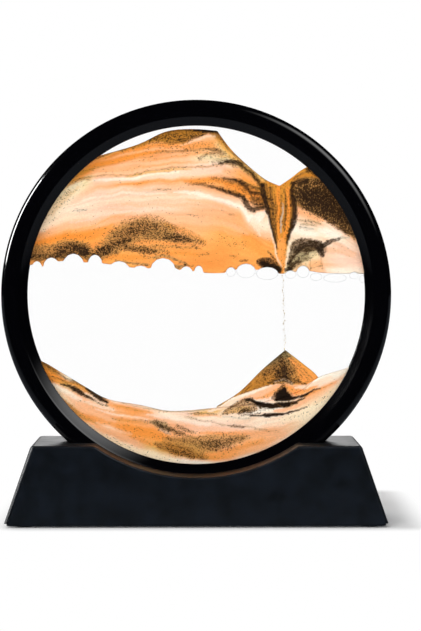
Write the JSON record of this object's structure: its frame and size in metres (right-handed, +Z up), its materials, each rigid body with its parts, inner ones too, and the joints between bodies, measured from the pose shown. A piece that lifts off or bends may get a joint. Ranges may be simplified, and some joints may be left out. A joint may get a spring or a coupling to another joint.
{
  "type": "moving sand art frame",
  "caption": "Round moving sand picture: a sealed glass cell of liquid, sand and air in a gloss ring that turns and lifts out of a slot in a trapezoid base.",
  "frame": {"origin": "on the surface it stands on, under the middle of the base", "axes": "+Z up, +Y from the front face to the back along the ring's axis, +X to the right seen from the front"},
  "size_m": [0.178, 0.0538, 0.1927],
  "materials": {
    "base_plastic": "satin",
    "ring_plastic": "gloss",
    "seal_foam": "matte",
    "foot_rubber": "matte",
    "screw_steel": "satin",
    "clear_glass": "gloss",
    "clear_plastic": "gloss",
    "clear_liquid": "gloss",
    "trapped_air": "gloss",
    "orange_sand": "matte",
    "ochre_sand": "matte",
    "pale_sand": "matte"
  },
  "bodies": {
    "base": {"base_shell": "base_plastic", "bottom_cover": "base_plastic", "cover_screw_1": "screw_steel", "cover_screw_2": "screw_steel", "cover_screw_3": "screw_steel", "cover_screw_4": "screw_steel", "rubber_foot_1": "foot_rubber", "rubber_foot_2": "foot_rubber", "rubber_foot_3": "foot_rubber", "rubber_foot_4": "foot_rubber"},
    "lifted_ring": {"edge_cushion": "seal_foam"},
    "frame": {"front_rim": "ring_plastic", "rear_rim": "ring_plastic", "front_gasket": "seal_foam", "rear_gasket": "seal_foam", "front_glass": "clear_glass", "rear_glass": "clear_glass", "cell_spacer": "clear_plastic", "fill_plug": "foot_rubber", "liquid_above_sand": "clear_liquid", "liquid_below_sand": "clear_liquid", "upper_sand": "orange_sand", "falling_sand": "ochre_sand", "sand_cone": "ochre_sand", "lower_sand": "pale_sand", "air_bubble_01": "trapped_air", "air_bubble_02": "trapped_air", "air_bubble_03": "trapped_air", "air_bubble_04": "trapped_air", "air_bubble_05": "trapped_air", "air_bubble_06": "trapped_air", "air_bubble_07": "trapped_air", "air_bubble_08": "trapped_air", "air_bubble_09": "trapped_air", "air_bubble_10": "trapped_air", "air_bubble_11": "trapped_air", "air_bubble_12": "trapped_air", "air_bubble_13": "trapped_air", "air_bubble_14": "trapped_air", "air_bubble_15": "trapped_air", "air_bubble_16": "trapped_air", "air_bubble_17": "trapped_air", "air_bubble_18": "trapped_air"}
  },
  "joints": [
    {"name": "frame_lift", "type": "slide", "parent": "base", "child": "lifted_ring", "axis": [0, 0, 1], "range_m": [0, 0.1]},
    {"name": "frame_turn", "type": "hinge", "parent": "lifted_ring", "child": "frame", "pos_m": [0, 0, 0.1037], "axis": [0, 1, 0], "continuous": true}
  ]
}
